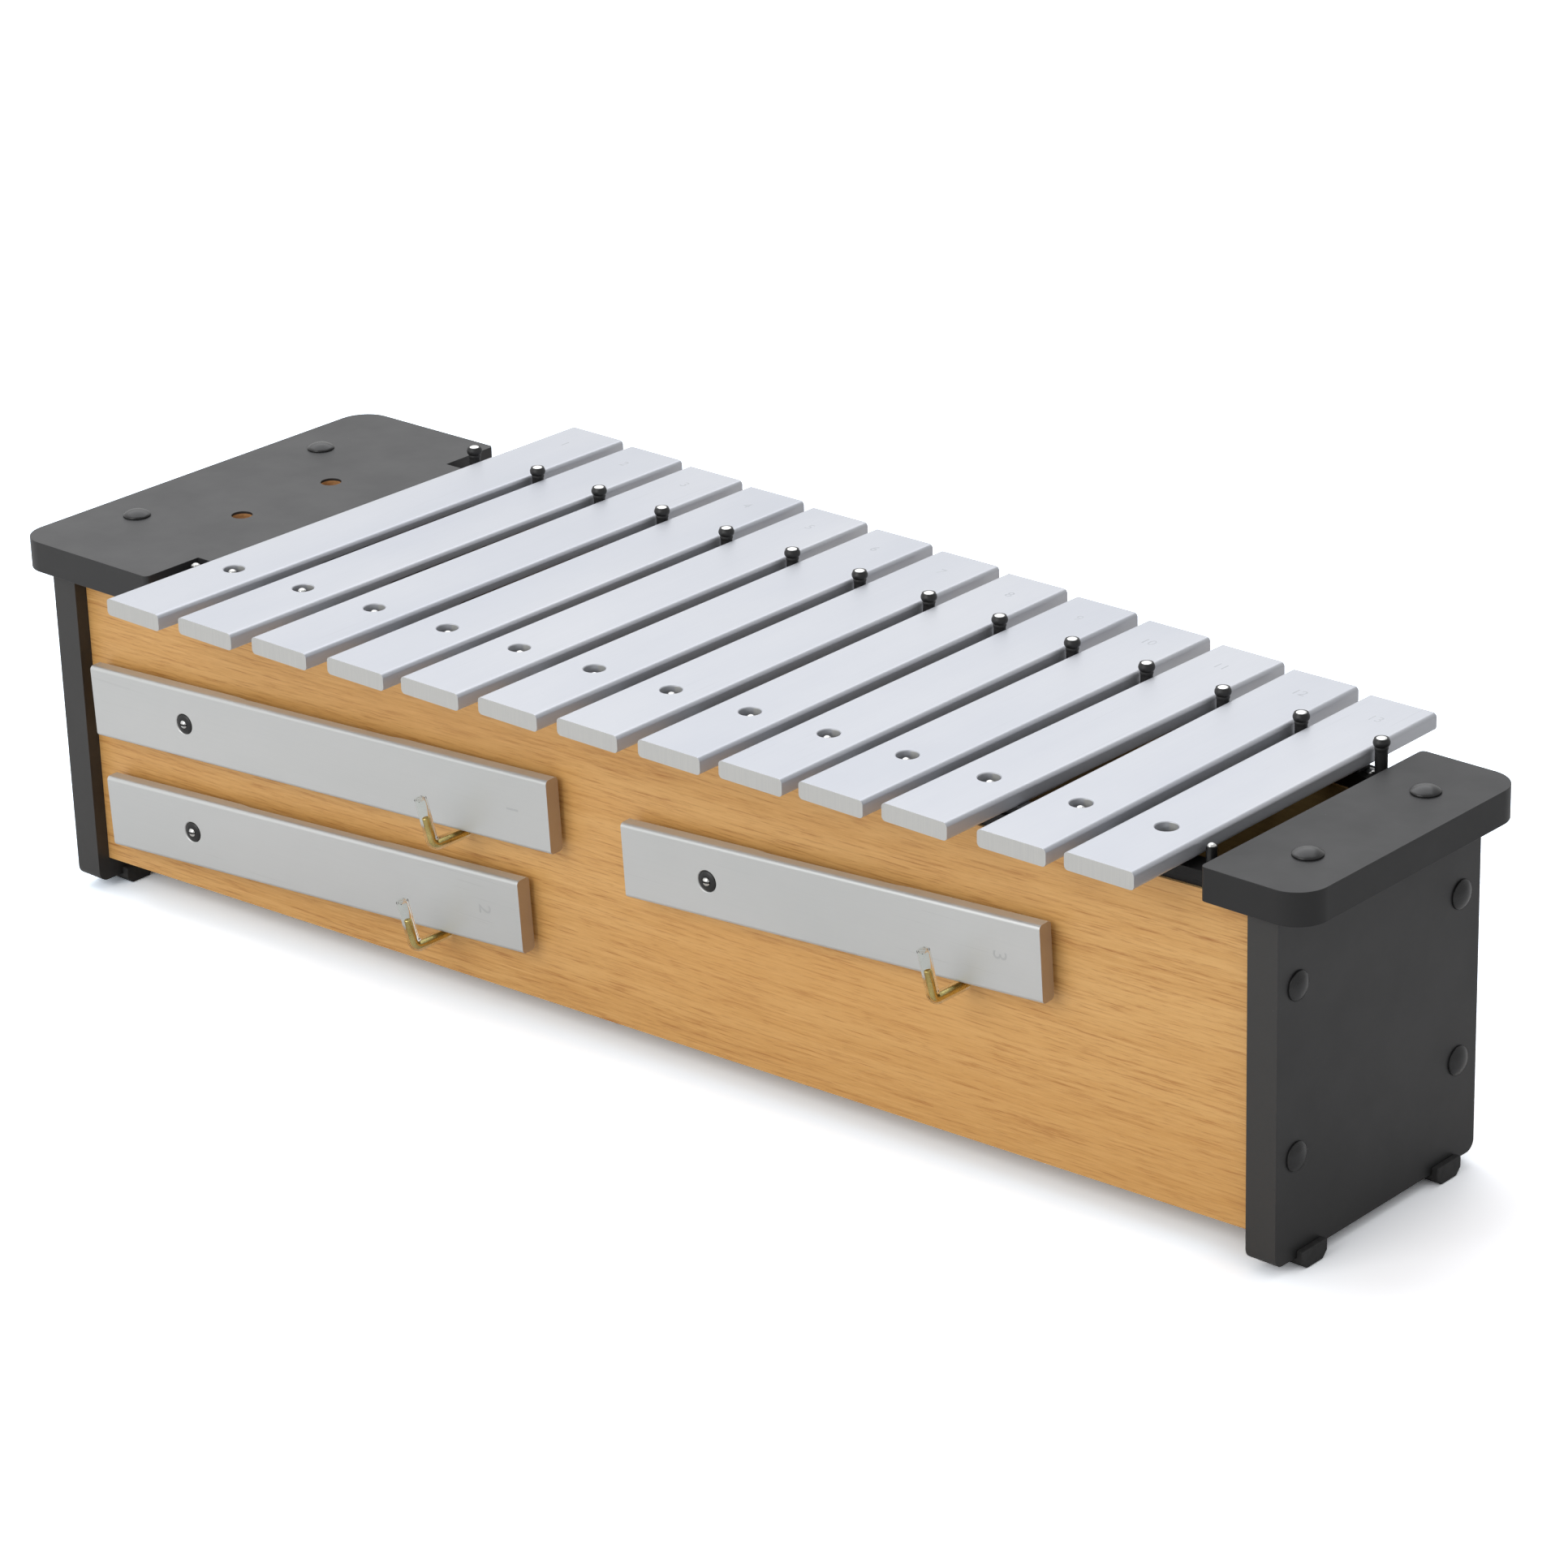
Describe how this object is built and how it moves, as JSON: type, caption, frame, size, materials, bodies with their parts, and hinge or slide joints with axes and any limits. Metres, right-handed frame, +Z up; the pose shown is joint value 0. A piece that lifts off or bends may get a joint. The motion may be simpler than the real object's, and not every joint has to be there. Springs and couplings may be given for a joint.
{
  "type": "metallophone",
  "caption": "Alto metallophone: graduated loose metal bars on felt rails over a tapered wooden resonator box, with spare bars hung on pins and hooks on its front.",
  "frame": {"origin": "on the surface the feet stand on, mid-way between the outer faces of the end boards and mid-way between front and rear", "axes": "+X along the box towards the short bars, +Y to the rear away from the spare bars, +Z up"},
  "size_m": [0.7204, 0.2994, 0.1861],
  "materials": {
    "black_board": "satin lacquer",
    "honey_veneer": "clear satin lacquer",
    "pale_ply": "unfinished",
    "rail_black": "matte stain",
    "bar_metal": "satin brushed",
    "pin_steel": "polished domes",
    "black_felt": "matte",
    "black_rubber": "matte",
    "cover_plastic": "glossy",
    "sleeve_plastic": "satin",
    "hook_brass": "bright",
    "clear_tube": "clear"
  },
  "bodies": {
    "resonator_box": {"left_end_board": "black_board", "right_end_board": "black_board", "front_panel": "honey_veneer", "rear_panel": "honey_veneer", "bottom_panel": "pale_ply", "front_batten": "pale_ply", "rear_batten": "pale_ply", "low_divider": "pale_ply", "high_divider": "pale_ply", "left_cap": "black_board", "right_cap": "black_board", "front_rail": "rail_black", "rear_rail": "rail_black", "front_felt": "black_felt", "rear_felt": "black_felt", "front_pins": "pin_steel", "front_pin_sleeves": "sleeve_plastic", "rear_pegs": "black_rubber", "rear_peg_cores": "pin_steel", "rail_screws": "pin_steel", "cap_screws": "pin_steel", "cap_screw_covers": "cover_plastic", "board_screws": "pin_steel", "board_screw_covers": "cover_plastic", "spare_pins": "pin_steel", "spare_pin_sleeves": "sleeve_plastic", "hooks": "hook_brass", "hook_tubes": "clear_tube", "foot_front_left": "black_rubber", "foot_rear_left": "black_rubber", "foot_front_right": "black_rubber", "foot_rear_right": "black_rubber"},
    "playing_bar_c1": {"bar_c1": "bar_metal"},
    "playing_bar_d1": {"bar_d1": "bar_metal"},
    "playing_bar_e1": {"bar_e1": "bar_metal"},
    "playing_bar_f1": {"bar_f1": "bar_metal"},
    "playing_bar_g1": {"bar_g1": "bar_metal"},
    "playing_bar_a1": {"bar_a1": "bar_metal"},
    "playing_bar_b1": {"bar_b1": "bar_metal"},
    "playing_bar_c2": {"bar_c2": "bar_metal"},
    "playing_bar_d2": {"bar_d2": "bar_metal"},
    "playing_bar_e2": {"bar_e2": "bar_metal"},
    "playing_bar_f2": {"bar_f2": "bar_metal"},
    "playing_bar_g2": {"bar_g2": "bar_metal"},
    "playing_bar_a2": {"bar_a2": "bar_metal"},
    "spare_bar_fs1": {"spare_bar_fs1": "bar_metal"},
    "spare_bar_bb1": {"spare_bar_bb1": "bar_metal"},
    "spare_bar_fs2": {"spare_bar_fs2": "bar_metal"}
  },
  "joints": [
    {"name": "lift_bar_c1", "type": "slide", "parent": "resonator_box", "child": "playing_bar_c1", "axis": [0, 0, 1], "range_m": [0, 0.04]},
    {"name": "lift_bar_d1", "type": "slide", "parent": "resonator_box", "child": "playing_bar_d1", "axis": [0, 0, 1], "range_m": [0, 0.04]},
    {"name": "lift_bar_e1", "type": "slide", "parent": "resonator_box", "child": "playing_bar_e1", "axis": [0, 0, 1], "range_m": [0, 0.04]},
    {"name": "lift_bar_f1", "type": "slide", "parent": "resonator_box", "child": "playing_bar_f1", "axis": [0, 0, 1], "range_m": [0, 0.04]},
    {"name": "lift_bar_g1", "type": "slide", "parent": "resonator_box", "child": "playing_bar_g1", "axis": [0, 0, 1], "range_m": [0, 0.04]},
    {"name": "lift_bar_a1", "type": "slide", "parent": "resonator_box", "child": "playing_bar_a1", "axis": [0, 0, 1], "range_m": [0, 0.04]},
    {"name": "lift_bar_b1", "type": "slide", "parent": "resonator_box", "child": "playing_bar_b1", "axis": [0, 0, 1], "range_m": [0, 0.04]},
    {"name": "lift_bar_c2", "type": "slide", "parent": "resonator_box", "child": "playing_bar_c2", "axis": [0, 0, 1], "range_m": [0, 0.04]},
    {"name": "lift_bar_d2", "type": "slide", "parent": "resonator_box", "child": "playing_bar_d2", "axis": [0, 0, 1], "range_m": [0, 0.04]},
    {"name": "lift_bar_e2", "type": "slide", "parent": "resonator_box", "child": "playing_bar_e2", "axis": [0, 0, 1], "range_m": [0, 0.04]},
    {"name": "lift_bar_f2", "type": "slide", "parent": "resonator_box", "child": "playing_bar_f2", "axis": [0, 0, 1], "range_m": [0, 0.04]},
    {"name": "lift_bar_g2", "type": "slide", "parent": "resonator_box", "child": "playing_bar_g2", "axis": [0, 0, 1], "range_m": [0, 0.04]},
    {"name": "lift_bar_a2", "type": "slide", "parent": "resonator_box", "child": "playing_bar_a2", "axis": [0, 0, 1], "range_m": [0, 0.04]},
    {"name": "swing_spare_fs1", "type": "hinge", "parent": "resonator_box", "child": "spare_bar_fs1", "pos_m": [-0.25774, -0.10379, 0.1048], "axis": [0.0553, -0.9985, 0], "range_deg": [0, 9]},
    {"name": "swing_spare_bb1", "type": "hinge", "parent": "resonator_box", "child": "spare_bar_bb1", "pos_m": [-0.25774, -0.10379, 0.0503], "axis": [0.0553, -0.9985, 0], "range_deg": [0, 3.5]},
    {"name": "swing_spare_fs2", "type": "hinge", "parent": "resonator_box", "child": "spare_bar_fs2", "pos_m": [0.05498, -0.08647, 0.1052], "axis": [0.0553, -0.9985, 0], "range_deg": [0, 12]}
  ]
}
